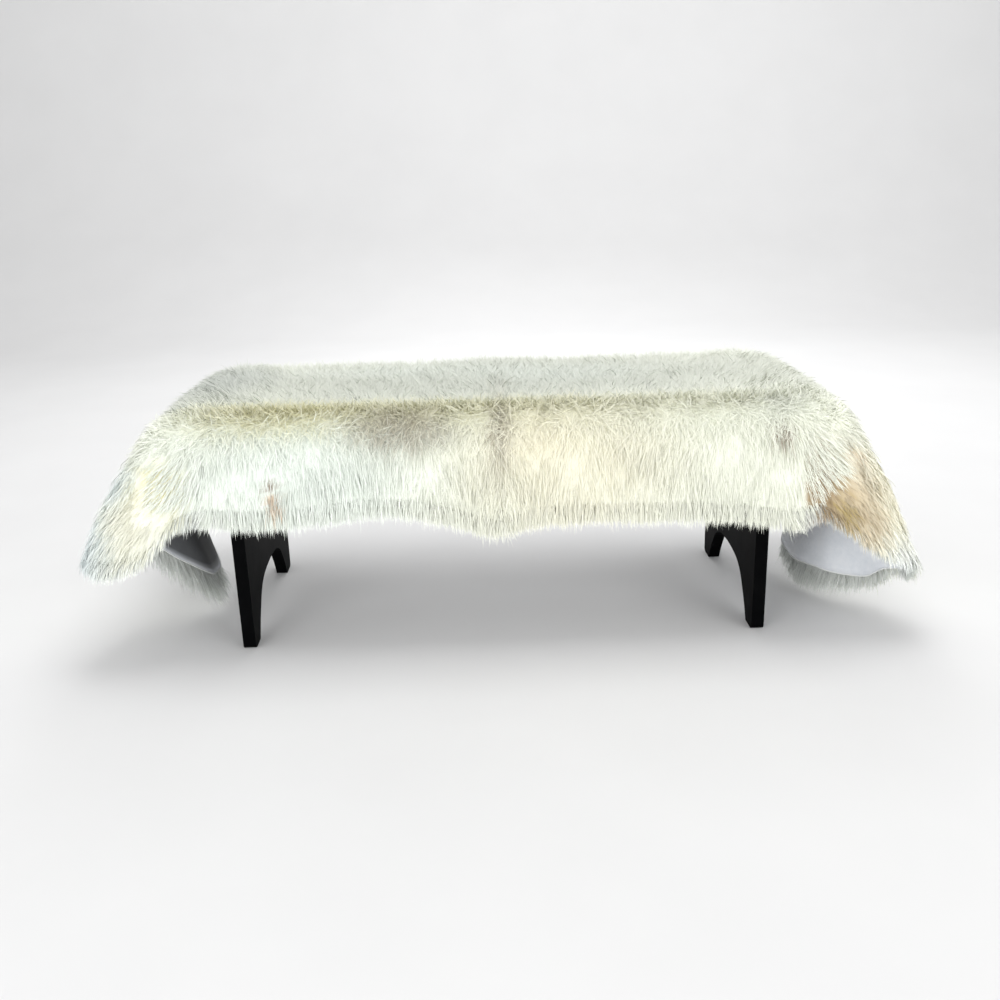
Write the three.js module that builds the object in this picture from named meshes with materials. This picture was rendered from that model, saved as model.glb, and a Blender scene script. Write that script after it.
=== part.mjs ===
import * as THREE from "three";

// Sizes in millimetres and angles in degrees. X runs along the bench, -Y is its front and +Z is up.
const bench = {
  halfLength: 545,
  halfDepth: 215,
  top: 430,
  boardThick: 25,
  corner: 35,
  chamfer: 8,
  under: 3,
  endFace: 500,
  endThick: 24,
  endHalfDepth: 212,
  footCorner: 10,
  joint: 0.3,
};
// The arch between the feet of an end board: height above the floor and half width there.
const arch = [
  // height, halfWidth
  [0, 167],
  [30, 150],
  [54, 132],
  [72, 117],
  [86, 99],
  [96, 74],
  [101, 40],
  [103, 0],
];

// The hide lies on the seat, then bends down at a line just inside the seat's edge.
const drape = {
  lie: 0.3,
  lift: 2.2,
  clear: 4,
  bend: 14,
  leather: 2,
  woolGap: 0.4,
  seamGap: 0.3,
  seamDip: 7,
  seamDipWidth: 45,
  lump: 2.5,
  lock: 46,
};
const lineRadius = bench.corner + drape.clear - drape.bend;
const straight = bench.halfLength - bench.corner;
const side = 2 * (bench.halfDepth - bench.corner);
const cornerRun = lineRadius * Math.PI / 2;
const wholeRun = 2 * straight + 2 * cornerRun + side;

// One row for each fold or flat of a pelt, from the front of the seam round the end to its back:
// at is the way along the bend line, turn swings the fall towards the end or back, flare opens it
// from the vertical, drop is the leather from the bend line to the hem, curl bends it back in
// further down, pile is the depth of the wool and bend the radius at the bend line.
const rightFolds = [
  // at, turn, flare, drop, curl, pile, bend
  [0, 0, 5, 188, 0, 36, 14],
  [50, 0, 6, 170, 0, 38, 14],
  [150, 0, 4, 165, 0, 38, 14],
  [260, 0, 6, 167, 0, 38, 14],
  [380, 0, 5, 170, 0, 38, 14],
  [480, 2, 8, 182, 0, 38, 15],
  [512, 8, 13, 190, 0, 38, 18],
  [524, 10, 18, 188, 0, 34, 24],
  [530, 8, 24, 232, 0, 30, 34],
  [536, 6, 31, 322, 0, 30, 50],
  [542, 0, 37, 372, 10, 34, 72],
  [549, -10, 40, 400, 26, 38, 100],
  [568, -6, 34, 414, 28, 38, 122],
  [596, -2, 18, 440, 14, 38, 130],
  [650, 0, -3, 441, 2, 38, 130],
  [720, 0, -12, 446, 0, 38, 126],
  [790, 0, -12, 434, 0, 38, 122],
  [860, 2, 0, 378, 0, 38, 115],
  [909, 4, 14, 318, 0, 38, 105],
  [928, 4, 22, 240, 0, 36, 80],
  [949, 0, 24, 134, 0, 34, 48],
  [1030, 0, 25, 56, 0, 30, 16],
  [1160, 0, 25, 40, 0, 28, 14],
  [1320, 0, 25, 42, 0, 28, 14],
  [1458.5, 0, 28, 56, 0, 34, 14],
];
const leftFolds = [
  // at, turn, flare, drop, curl, pile, bend
  [0, 0, 5, 188, 0, 36, 14],
  [70, 0, 5, 170, 0, 38, 14],
  [150, 0, 6, 148, 0, 38, 14],
  [230, 0, 8, 140, 0, 38, 14],
  [330, 0, 5, 151, 0, 38, 14],
  [440, 0, 7, 157, 0, 38, 15],
  [500, 6, 10, 152, 0, 38, 18],
  [516, 10, 16, 150, 0, 34, 20],
  [524, 10, 22, 172, 0, 30, 28],
  [531, 8, 30, 268, 0, 30, 42],
  [539, 2, 42, 314, 10, 34, 68],
  [547, -8, 51, 318, 32, 38, 95],
  [560, -8, 50, 322, 46, 38, 112],
  [585, -2, 34, 336, 30, 38, 125],
  [610, 0, 14, 350, 12, 36, 125],
  [645, 0, -8, 398, 0, 34, 120],
  [690, 0, -18, 444, 0, 38, 116],
  [735, 0, -18, 442, 0, 38, 116],
  [780, 0, -14, 396, 0, 38, 114],
  [815, 0, -6, 356, 0, 36, 112],
  [850, 0, 4, 336, 0, 36, 106],
  [880, 2, 16, 328, 0, 38, 98],
  [909, 4, 28, 316, 0, 38, 90],
  [930, 2, 30, 240, 0, 38, 72],
  [949, 0, 28, 128, 0, 34, 45],
  [1030, 0, 25, 54, 0, 30, 16],
  [1160, 0, 25, 38, 0, 28, 14],
  [1320, 0, 25, 40, 0, 28, 14],
  [1458.5, 0, 28, 56, 0, 34, 14],
];

// Steps of the pelts' mesh: along the seat, round a corner, across the end, round the bend, down.
const steps = { along: 12, corner: 9, across: 10, bend: 4, fall: 5 };
const columns = 2 * steps.along + 2 * steps.corner + steps.across;
const rings = 1 + steps.bend + steps.fall;

const group = new THREE.Group();
const rad = (degrees) => degrees * Math.PI / 180;

const blackPaint = new THREE.MeshStandardMaterial({ name: "black paint", color: 0x121212, roughness: 0.45 });
const leather = new THREE.MeshStandardMaterial({ name: "hide", color: 0xc9cdd1, roughness: 0.8 });
const wool = new THREE.MeshStandardMaterial({ name: "wool", color: 0xe9e6da, roughness: 0.95 });

function addPiece(name, geometry, material) {
  const mesh = new THREE.Mesh(geometry, material);
  mesh.name = name;
  group.add(mesh);
}

function indexed(points, faces) {
  const geometry = new THREE.BufferGeometry();
  geometry.setAttribute("position", new THREE.Float32BufferAttribute(points.flat(), 3));
  geometry.setIndex(faces.flat());
  geometry.computeVertexNormals();
  return geometry;
}

// The seat board: rounded outlines, one above the other, closed by two flat faces.
function roundedOutline(inset, z, segments) {
  const points = [];
  const radius = bench.corner - inset;
  const centreX = bench.halfLength - bench.corner;
  const centreY = bench.halfDepth - bench.corner;
  const corners = [[1, -1, -90], [1, 1, 0], [-1, 1, 90], [-1, -1, 180]];
  for (const [signX, signY, start] of corners) {
    for (let step = 0; step <= segments; step += 1) {
      const angle = rad(start + 90 * step / segments);
      const x = signX * centreX + radius * Math.cos(angle);
      const y = signY * centreY + radius * Math.sin(angle);
      points.push([x, y, z]);
    }
  }
  return points;
}

function seatBoard() {
  const base = bench.top - bench.boardThick;
  const levels = [
    // inset, z
    [bench.under, base],
    [0, base + bench.under],
    [0, bench.top - bench.chamfer],
    [bench.chamfer * 0.29, bench.top - bench.chamfer * 0.29],
    [bench.chamfer, bench.top],
  ];
  const outlines = levels.map(([inset, z]) => roundedOutline(inset, z, 6));
  const count = outlines[0].length;
  const faces = [];
  for (let level = 0; level + 1 < outlines.length; level += 1) {
    for (let i = 0; i < count; i += 1) {
      const a = level * count + i;
      const b = level * count + (i + 1) % count;
      faces.push([a, b, b + count], [a, b + count, a + count]);
    }
  }
  const last = (outlines.length - 1) * count;
  for (let i = 1; i + 1 < count; i += 1) {
    faces.push([0, i + 1, i], [last, last + i, last + i + 1]);
  }
  return indexed(outlines.flat(), faces);
}

// An end board: two feet with an arch between them, cut from a plank.
function endBoard(sign) {
  const half = bench.endHalfDepth;
  const round = bench.footCorner;
  const height = bench.top - bench.boardThick - bench.joint;
  const outline = [];
  outline.push([half, height]);
  outline.push([-half, height]);
  const rounded = (centre, from, to) => {
    for (let step = 0; step <= 4; step += 1) {
      const angle = rad(from + (to - from) * step / 4);
      outline.push([centre + round * Math.cos(angle), round + round * Math.sin(angle)]);
    }
  };
  rounded(-half + round, 180, 270);
  const rim = new THREE.SplineCurve(arch.map(([z, y]) => new THREE.Vector2(y, z))).getPoints(14);
  for (const point of rim) {
    outline.push([-point.x, point.y]);
  }
  for (const point of rim.slice(0, -1).reverse()) {
    outline.push([point.x, point.y]);
  }
  rounded(half - round, 270, 360);
  const shape = new THREE.Shape(outline.map(([y, z]) => new THREE.Vector2(y, z)));
  const geometry = new THREE.ExtrudeGeometry(shape, { depth: bench.endThick, bevelEnabled: false });
  geometry.applyMatrix4(new THREE.Matrix4().makeBasis(
    new THREE.Vector3(0, 1, 0), new THREE.Vector3(0, 0, 1), new THREE.Vector3(1, 0, 0)));
  geometry.translate(sign > 0 ? bench.endFace - bench.endThick : -bench.endFace, 0, 0);
  return geometry;
}

// A smooth curve through the rows of a table that never overshoots them.
function rowAt(rows, at) {
  let k = 0;
  while (k + 2 < rows.length && rows[k + 1][0] <= at) {
    k += 1;
  }
  const slope = (i, column) => {
    if (i < 1 || i + 1 >= rows.length) {
      return 0;
    }
    const before = (rows[i][column] - rows[i - 1][column]) / (rows[i][0] - rows[i - 1][0]);
    const after = (rows[i + 1][column] - rows[i][column]) / (rows[i + 1][0] - rows[i][0]);
    return before * after > 0 ? 2 * before * after / (before + after) : 0;
  };
  const span = rows[k + 1][0] - rows[k][0];
  const t = (at - rows[k][0]) / span;
  const value = (column) => {
    const start = rows[k][column];
    const end = rows[k + 1][column];
    const rise = t * t * (3 - 2 * t);
    const leave = t * (1 - t) * (1 - t) * span * slope(k, column);
    const arrive = t * t * (t - 1) * span * slope(k + 1, column);
    return start + (end - start) * rise + leave + arrive;
  };
  const [turn, flare, drop] = [value(1), value(2), value(3)];
  return { turn, flare, drop, curl: value(4), pile: value(5), bend: value(6) };
}

// The bend line of a pelt: a point on it and the way that it faces there.
function bendLine(at) {
  const halfSide = side / 2;
  const mirrored = at > wholeRun / 2;
  const run = mirrored ? wholeRun - at : at;
  const flip = mirrored ? -1 : 1;
  if (run <= straight) {
    return { x: run, y: -flip * (halfSide + lineRadius), facing: -90 * flip };
  }
  if (run <= straight + cornerRun) {
    const angle = (run - straight) / lineRadius - Math.PI / 2;
    const y = -halfSide + lineRadius * Math.sin(angle);
    const facing = flip * angle * 180 / Math.PI;
    return { x: straight + lineRadius * Math.cos(angle), y: flip * y, facing };
  }
  return { x: straight + lineRadius, y: flip * (run - straight - cornerRun - halfSide), facing: 0 };
}

// How far out and down the leather is after a length of it past the bend line.
function fallProfile(length, row) {
  const steep = rad(90 - row.flare);
  const bent = row.bend * steep;
  if (length <= bent) {
    const angle = length / row.bend;
    return [row.bend * Math.sin(angle), row.bend * (1 - Math.cos(angle))];
  }
  const out = row.bend * Math.sin(steep);
  const down = row.bend * (1 - Math.cos(steep));
  const rest = length - bent;
  const rate = rad(row.curl) / (row.drop - bent);
  if (Math.abs(rate) < 1e-7) {
    return [out + rest * Math.cos(steep), down + rest * Math.sin(steep)];
  }
  const angle = steep + rate * rest;
  return [out + (Math.sin(angle) - Math.sin(steep)) / rate, down + (Math.cos(steep) - Math.cos(angle)) / rate];
}

// The distances down a fall at which the mesh has its rings.
function ringLengths(row) {
  const bent = row.bend * rad(90 - row.flare);
  const lengths = [0];
  for (let step = 1; step <= steps.bend; step += 1) {
    lengths.push(bent * step / steps.bend);
  }
  for (let step = 1; step <= steps.fall; step += 1) {
    lengths.push(bent + (row.drop - bent) * step / steps.fall);
  }
  return lengths;
}

function columnAt(column) {
  const marks = [
    // segments, run
    [steps.along, straight],
    [steps.corner, cornerRun],
    [steps.across, side],
    [steps.corner, cornerRun],
    [steps.along, straight],
  ];
  let rest = column;
  let at = 0;
  for (const [segments, run] of marks) {
    const used = Math.min(rest, segments);
    at += run * used / segments;
    rest -= used;
  }
  return Math.min(at, wholeRun);
}

// The underside of one pelt as a grid: a flat field on the seat and rings down its falls.
function peltSurface(folds) {
  const points = [];
  const depths = [];
  const faces = [];
  const field = (i, j) => j * (steps.along + 1) + i;
  const first = (steps.along + 1) * (steps.across + 1);
  const rowLie = rowAt(folds, 0);
  for (let j = 0; j <= steps.across; j += 1) {
    for (let i = 0; i <= steps.along; i += 1) {
      points.push([straight * i / steps.along, side * (j / steps.across - 0.5), bench.top + drape.lie]);
      depths.push(rowLie.pile);
    }
  }
  const ring = (column, r) => {
    if (r > 0) {
      return first + column * rings + r - 1;
    }
    const end = column - steps.along - steps.corner;
    const i = Math.min(column, steps.along, columns - column);
    const j = Math.min(Math.max(end, 0), steps.across);
    return field(i, j);
  };
  for (let column = 0; column <= columns; column += 1) {
    const at = columnAt(column);
    const row = rowAt(folds, at);
    const base = bendLine(at);
    const heading = rad(base.facing + row.turn);
    for (const length of ringLengths(row)) {
      const [out, down] = fallProfile(length, row);
      const x = base.x + out * Math.cos(heading);
      const y = base.y + out * Math.sin(heading);
      points.push([x, y, bench.top + drape.lie + drape.lift - down]);
      depths.push(row.pile);
    }
  }
  for (let j = 0; j < steps.across; j += 1) {
    for (let i = 0; i < steps.along; i += 1) {
      faces.push([field(i, j), field(i + 1, j), field(i + 1, j + 1)]);
      faces.push([field(i, j), field(i + 1, j + 1), field(i, j + 1)]);
    }
  }
  for (let column = 0; column < columns; column += 1) {
    for (let r = 0; r < rings; r += 1) {
      const [a, b] = [ring(column, r), ring(column + 1, r)];
      const [c, d] = [ring(column, r + 1), ring(column + 1, r + 1)];
      faces.push([c, d, b]);
      if (a !== b) {
        faces.push([c, b, a]);
      }
    }
  }
  const hem = [];
  for (let column = 0; column <= columns; column += 1) {
    hem.push(ring(column, rings));
  }
  const seam = [];
  for (let r = rings; r > 0; r -= 1) {
    seam.push(ring(columns, r));
  }
  for (let j = steps.across; j >= 0; j -= 1) {
    seam.push(field(0, j));
  }
  for (let r = 1; r <= rings; r += 1) {
    seam.push(ring(0, r));
  }
  const above = hem.map((vertex, column) => ring(column, rings - 1));
  return { points, depths, faces, hem, seam, above };
}

function surfaceNormals(surface) {
  const normals = surface.points.map(() => new THREE.Vector3());
  const corner = (vertex) => new THREE.Vector3(...surface.points[vertex]);
  for (const face of surface.faces) {
    const [a, b, c] = face.map(corner);
    const normal = b.clone().sub(a).cross(c.clone().sub(a)).normalize();
    const sides = [[a, b, c], [b, c, a], [c, a, b]];
    sides.forEach(([tip, next, last], k) => {
      const angle = next.clone().sub(tip).angleTo(last.clone().sub(tip));
      normals[face[k]].addScaledVector(normal, angle);
    });
  }
  for (const vertex of surface.seam) {
    normals[vertex].x = 0;
  }
  return normals.map((normal) => normal.normalize());
}

// Soft lumps and hollows in the wool, and the parting along the seam.
function woolDepth(x, y, z, pile) {
  const wave = Math.sin(x / 61 + y / 97) * Math.cos(y / 53 - x / 131) + 0.6 * Math.sin(z / 47 + x / 83);
  const near = Math.max(0, 1 - x / drape.seamDipWidth);
  return pile + drape.lump * wave - drape.seamDip * near * near;
}

// A closed sheet between two heights over a surface, with a plain rim or a lock on each part of it.
function sheetSolid(surface, normals, low, high, lock, sign) {
  const count = surface.points.length;
  const offset = (vertex, height) => {
    const [x, y, z] = surface.points[vertex];
    const normal = normals[vertex];
    const shifted = [x + normal.x * height, y + normal.y * height, z + normal.z * height];
    shifted[0] = Math.max(shifted[0], 0) + drape.seamGap / 2;
    return shifted;
  };
  const points = surface.points.map((point, vertex) => offset(vertex, low));
  surface.points.forEach((point, vertex) => points.push(offset(vertex, high(vertex))));
  const faces = [];
  for (const [a, b, c] of surface.faces) {
    faces.push([a + count, b + count, c + count], [a, c, b]);
  }
  for (let k = 0; k + 1 < surface.seam.length; k += 1) {
    const [p, q] = [surface.seam[k], surface.seam[k + 1]];
    faces.push([p, q, q + count], [p, q + count, p + count]);
  }
  for (let k = 0; k + 1 < surface.hem.length; k += 1) {
    const [p, q] = [surface.hem[k], surface.hem[k + 1]];
    if (lock === 0) {
      faces.push([p, q, q + count], [p, q + count, p + count]);
      continue;
    }
    const tip = new THREE.Vector3();
    for (const vertex of [p, q, p + count, q + count]) {
      tip.addScaledVector(new THREE.Vector3(...points[vertex]), 0.25);
    }
    const way = new THREE.Vector3(...surface.points[p]).add(new THREE.Vector3(...surface.points[q]));
    way.sub(new THREE.Vector3(...surface.points[surface.above[k]]));
    way.sub(new THREE.Vector3(...surface.points[surface.above[k + 1]])).normalize();
    const length = lock * (surface.depths[p] + surface.depths[q]) / 76 * (k % 2 === 0 ? 1 : 0.82);
    tip.addScaledVector(way, length);
    const apex = points.length;
    points.push([Math.max(tip.x, drape.seamGap / 2), tip.y, tip.z]);
    faces.push([p, q, apex], [q, q + count, apex], [q + count, p + count, apex], [p + count, p, apex]);
  }
  if (sign < 0) {
    return indexed(points.map(([x, y, z]) => [-x, y, z]), faces.map(([a, b, c]) => [a, c, b]));
  }
  return indexed(points, faces);
}

addPiece("bench_top", seatBoard(), blackPaint);
addPiece("bench_end_left", endBoard(-1), blackPaint);
addPiece("bench_end_right", endBoard(1), blackPaint);
const pelts = [
  // name, sign, folds
  ["left", -1, leftFolds],
  ["right", 1, rightFolds],
];
for (const [name, sign, folds] of pelts) {
  const surface = peltSurface(folds);
  const normals = surfaceNormals(surface);
  const woolBase = drape.leather + drape.woolGap;
  const woolTop = (vertex) => woolBase + woolDepth(...surface.points[vertex], surface.depths[vertex]);
  addPiece(`hide_${name}`, sheetSolid(surface, normals, 0, () => drape.leather, 0, sign), leather);
  addPiece(`fleece_${name}`, sheetSolid(surface, normals, woolBase, woolTop, drape.lock, sign), wool);
}

// The middle of the bounding box stands over the origin, with the feet on the floor.
group.updateMatrixWorld(true);
const box = new THREE.Box3().setFromObject(group, true);
const shift = box.getCenter(new THREE.Vector3());
group.children.forEach((mesh) => mesh.geometry.translate(-shift.x, -shift.y, -box.min.z));

export default group;
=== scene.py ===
import math

import bmesh
import bpy
import numpy as np
from mathutils import Matrix, Vector, kdtree


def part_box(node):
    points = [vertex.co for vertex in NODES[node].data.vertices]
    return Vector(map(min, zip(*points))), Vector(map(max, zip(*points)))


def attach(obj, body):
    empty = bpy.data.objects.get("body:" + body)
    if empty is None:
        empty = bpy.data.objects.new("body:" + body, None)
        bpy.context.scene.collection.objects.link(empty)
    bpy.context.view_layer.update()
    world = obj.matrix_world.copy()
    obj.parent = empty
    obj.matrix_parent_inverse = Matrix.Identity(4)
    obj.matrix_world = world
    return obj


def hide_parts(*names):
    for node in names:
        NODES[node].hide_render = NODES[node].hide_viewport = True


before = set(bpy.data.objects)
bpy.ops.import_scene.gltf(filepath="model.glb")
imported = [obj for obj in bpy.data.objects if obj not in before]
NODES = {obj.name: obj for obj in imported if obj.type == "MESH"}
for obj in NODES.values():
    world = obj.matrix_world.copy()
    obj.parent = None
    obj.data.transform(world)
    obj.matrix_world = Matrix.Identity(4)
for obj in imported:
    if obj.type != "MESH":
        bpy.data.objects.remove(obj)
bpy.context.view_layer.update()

# Everything below is in metres, from a point on the floor under the middle of the bench.
low_left, high_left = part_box("bench_end_left")
high_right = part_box("bench_end_right")[1]
BENCH = np.array(
    [(low_left.x + high_right.x) / 2, (low_left.y + high_left.y) / 2, low_left.z]
)

SEAT_HALF_LENGTH = 0.545
SEAT_HALF_DEPTH = 0.215
SEAT_TOP = 0.430
SEAT_CORNER = 0.035
# The leather lies this far over the seat, rises at its edge and stays clear of it outside.
LIE, LIFT, CLEAR = 0.0003, 0.0022, 0.004
LEATHER = 0.002
SEAM_HALF_GAP = 0.00015
LINE_RADIUS = SEAT_CORNER + CLEAR - 0.014
STRAIGHT = SEAT_HALF_LENGTH - SEAT_CORNER
SIDE = 2 * (SEAT_HALF_DEPTH - SEAT_CORNER)
CORNER_RUN = LINE_RADIUS * math.pi / 2
WHOLE_RUN = 2 * STRAIGHT + 2 * CORNER_RUN + SIDE
# The backbone of the pelts lies near the seat's front edge, and the wool falls away from it.
BACKBONE_Y = -0.168
BACKBONE_END = 0.400
# Where the front's wool ends and the corner's begins, along the bend line, at the seat and hem.
FOLD_AT_SEAT = 0.540
FOLD_AT_HEM = 0.512
FOLD_CURVE = 2.5
# The folded corner and the leg lobe along the bend line, and half of how far each reaches.
CORNER_AT, CORNER_WIDTH = 0.560, 0.040
LOBE_AT, LOBE_WIDTH = 0.680, 0.080
# The ridge of standing wool over the seat's front edge.
RIDGE_Y, RIDGE_WIDTH = -0.185, 0.05

# The wool body takes this share of the wool's depth, and lies this far over the leather.
BODY_SHARE, BODY_GAP = 0.58, 0.0006
HAIRS, RIM_HAIRS = 78000, 12000
HAIR_LENGTH, HAIR_VARIES = 0.047, 0.006
HAIR_HALF_WIDTH, HALF_WIDTH_VARIES = 0.00048, 0.00008
# The depth of wool at which a hair has its full length.
FULL_PILE = 0.038
# The fringe at the rim, and how much longer it is on each pelt's leg lobe.
RIM_LENGTH = 0.040
LOBE_FRINGE = {"left": 0.034, "right": 0.022}
# The stations along each blade, with its width there as a share of its widest.
STATIONS = [(0.0, 0.85), (0.40, 1.0), (0.75, 0.72), (1.0, 0.0)]
# How many hairs share a lock, and how far at most each is drawn to the hair at its head.
LOCK_SIZE, LONGEST_PULL = 12, 0.012
# No hair's middle comes nearer to the floor than this.
OFF_FLOOR = 0.004

# The bead along the cut edge of the leather, and the stitches of the seam.
BEAD_SIDES, BEAD_RADIUS = 6, LEATHER * 0.95
STITCH_STEP, STITCH_LENGTH, THREAD_RADIUS = 0.006, 0.0065, 0.0005

# A row for each fold or flat of a pelt, from the front of the seam round the end to its back.
RIGHT_FOLDS = [
    # at, turn, flare, drop, curl, pile, bend
    (0, 0, 5, 188, 0, 36, 14),
    (50, 0, 6, 170, 0, 38, 14),
    (150, 0, 4, 165, 0, 38, 14),
    (260, 0, 6, 167, 0, 38, 14),
    (380, 0, 5, 170, 0, 38, 14),
    (480, 2, 8, 182, 0, 38, 15),
    (512, 8, 13, 190, 0, 38, 18),
    (524, 10, 18, 188, 0, 34, 24),
    (530, 8, 24, 232, 0, 30, 34),
    (536, 6, 31, 322, 0, 30, 50),
    (542, 0, 37, 372, 10, 34, 72),
    (549, -10, 40, 400, 26, 38, 100),
    (568, -6, 34, 414, 28, 38, 122),
    (596, -2, 18, 440, 14, 38, 130),
    (650, 0, -4, 440, 2, 38, 130),
    (720, 0, -12, 445, 0, 38, 126),
    (790, 0, -12, 435, 0, 38, 122),
    (860, 2, 0, 378, 0, 38, 115),
    (909, 4, 14, 318, 0, 38, 105),
    (928, 4, 22, 240, 0, 36, 80),
    (949, 0, 24, 134, 0, 34, 48),
    (1030, 0, 25, 56, 0, 30, 16),
    (1160, 0, 25, 40, 0, 28, 14),
    (1320, 0, 25, 42, 0, 28, 14),
    (1458.5, 0, 28, 56, 0, 34, 14),
]
LEFT_FOLDS = [
    # at, turn, flare, drop, curl, pile, bend
    (0, 0, 5, 188, 0, 36, 14),
    (70, 0, 5, 170, 0, 38, 14),
    (150, 0, 6, 148, 0, 38, 14),
    (230, 0, 8, 140, 0, 38, 14),
    (330, 0, 5, 151, 0, 38, 14),
    (440, 0, 7, 157, 0, 38, 15),
    (500, 6, 10, 152, 0, 38, 18),
    (516, 10, 16, 150, 0, 34, 20),
    (524, 10, 22, 172, 0, 30, 28),
    (531, 8, 30, 268, 0, 30, 42),
    (539, 2, 42, 314, 10, 34, 68),
    (547, -8, 51, 318, 32, 38, 95),
    (560, -8, 50, 322, 46, 38, 112),
    (585, -2, 34, 336, 30, 38, 125),
    (610, 0, 14, 320, 12, 36, 125),
    (645, 0, -8, 365, 0, 34, 120),
    (690, 0, -18, 420, 0, 38, 116),
    (735, 0, -18, 425, 0, 38, 116),
    (780, 0, -14, 395, 0, 38, 114),
    (815, 0, -6, 355, 0, 36, 112),
    (850, 0, 4, 335, 0, 36, 106),
    (880, 2, 16, 328, 0, 38, 98),
    (909, 4, 28, 316, 0, 38, 90),
    (930, 2, 30, 240, 0, 38, 72),
    (949, 0, 28, 128, 0, 34, 45),
    (1030, 0, 25, 54, 0, 30, 16),
    (1160, 0, 25, 38, 0, 28, 14),
    (1320, 0, 25, 40, 0, 28, 14),
    (1458.5, 0, 28, 56, 0, 34, 14),
]


# Shader maths as plain expressions.
class Value:
    def __init__(self, nodes, socket):
        self.nodes = nodes
        self.socket = socket

    def math(self, operation, other, swap=False):
        first, second = (other, self) if swap else (self, other)
        return self.nodes.add("ShaderNodeMath", {"operation": operation}, [first, second])

    def __add__(self, other):
        return self.math("ADD", other)

    def __radd__(self, other):
        return self.math("ADD", other, swap=True)

    def __mul__(self, other):
        return self.math("MULTIPLY", other)

    def __rmul__(self, other):
        return self.math("MULTIPLY", other, swap=True)


class Nodes:
    def __init__(self, name):
        self.material = bpy.data.materials.new(name)
        self.material.use_nodes = True
        self.tree = self.material.node_tree
        self.tree.nodes.clear()

    def add(self, kind, settings=None, inputs=(), output=0):
        node = self.tree.nodes.new(kind)
        for key, value in (settings or {}).items():
            if key == "stops":
                self.set_stops(node.color_ramp, value)
            else:
                setattr(node, key, value)
        pairs = inputs.items() if isinstance(inputs, dict) else enumerate(inputs)
        for key, value in pairs:
            if isinstance(value, Value):
                self.tree.links.new(value.socket, node.inputs[key])
            else:
                node.inputs[key].default_value = value
        return Value(self, node.outputs[output])

    @staticmethod
    def set_stops(ramp, stops):
        while len(ramp.elements) < len(stops):
            ramp.elements.new(0.5)
        for element, (place, colour) in zip(ramp.elements, stops):
            element.position = place
            element.color = (*colour, 1)

    def mix(self, factor, first, second, blend="MIX"):
        settings = {"data_type": "RGBA", "blend_type": blend, "clamp_factor": True}
        first = (*first, 1) if isinstance(first, tuple) else first
        second = (*second, 1) if isinstance(second, tuple) else second
        return self.add("ShaderNodeMix", settings, {0: factor, 6: first, 7: second}, output=2)

    def noise(self, place, scale, detail=3.0, roughness=0.5, stretch=(1, 1, 1)):
        moved = self.add("ShaderNodeMapping", None, {"Vector": place, "Scale": stretch})
        inputs = {"Vector": moved, "Scale": scale, "Detail": detail, "Roughness": roughness}
        return self.add("ShaderNodeTexNoise", None, inputs)

    def ramp(self, value, stops):
        return self.add("ShaderNodeValToRGB", {"stops": stops}, [value])

    def place(self):
        return self.add("ShaderNodeTexCoord", output=3)

    def bump(self, height, strength, distance):
        return self.add(
            "ShaderNodeBump", None, {"Strength": strength, "Distance": distance, "Height": height}
        )

    def surface(self, **inputs):
        named = {key.replace("_", " "): value for key, value in inputs.items()}
        shader = self.add("ShaderNodeBsdfPrincipled", None, named)
        self.add_output(shader)
        return self.material

    def add_output(self, shader):
        node = self.tree.nodes.new("ShaderNodeOutputMaterial")
        self.tree.links.new(shader.socket, node.inputs["Surface"])


def black_paint():
    nodes = Nodes("black paint on wood")
    place = nodes.place()
    grain = nodes.noise(place, 60, 6, 0.6, (1, 1, 0.06))
    brush = nodes.noise(place, 240, 3, 0.5, (1, 1, 0.2))
    wear = nodes.noise(place, 9, 4, 0.6)
    colour = nodes.ramp(wear, [(0.35, (0.0012, 0.0013, 0.0015)), (0.75, (0.0032, 0.0033, 0.0036))])
    rough = 0.42 + 0.16 * wear + 0.06 * brush
    normal = nodes.bump(grain * 0.7 + brush * 0.3, 0.35, 0.0006)
    return nodes.surface(
        Base_Color=colour, Roughness=rough, Normal=normal, Specular_IOR_Level=0.012
    )


def suede():
    nodes = Nodes("suede side of the hide")
    place = nodes.place()
    cloud = nodes.noise(place, 14, 5, 0.6)
    nap = nodes.noise(place, 900, 3, 0.6)
    mottle = nodes.noise(place, 120, 4, 0.6)
    tone = cloud * 0.6 + mottle * 0.4
    colour = nodes.ramp(
        tone,
        [(0.3, (0.76, 0.80, 0.85)), (0.52, (0.86, 0.89, 0.93)), (0.75, (0.93, 0.95, 0.97))],
    )
    colour = nodes.mix(nap * 0.12, colour, (0.60, 0.64, 0.68))
    # The leather's coat attribute holds its painted shade, which darkens the colour.
    painted_leather_shade = nodes.add("ShaderNodeAttribute", {"attribute_name": "coat"})
    colour = nodes.mix(1.0, colour, painted_leather_shade, blend="MULTIPLY")
    normal = nodes.bump(nap * 0.5 + mottle * 0.5, 0.4, 0.0008)
    return nodes.surface(
        Base_Color=colour, Roughness=0.78 + 0.12 * nap, Normal=normal, Sheen_Weight=0.25
    )


def under_wool():
    nodes = Nodes("under wool")
    place = nodes.place()
    coat = nodes.add("ShaderNodeAttribute", {"attribute_name": "coat"})
    curl = nodes.noise(place, 160, 4, 0.65)
    lump = nodes.noise(place, 34, 3, 0.5)
    colour = nodes.mix(curl * 0.15, coat, (0.6, 0.58, 0.5), blend="MULTIPLY")
    normal = nodes.bump(curl * 0.7 + lump * 0.3, 0.9, 0.004)
    return nodes.surface(Base_Color=colour, Roughness=0.9, Normal=normal, Sheen_Weight=0.3)


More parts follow.
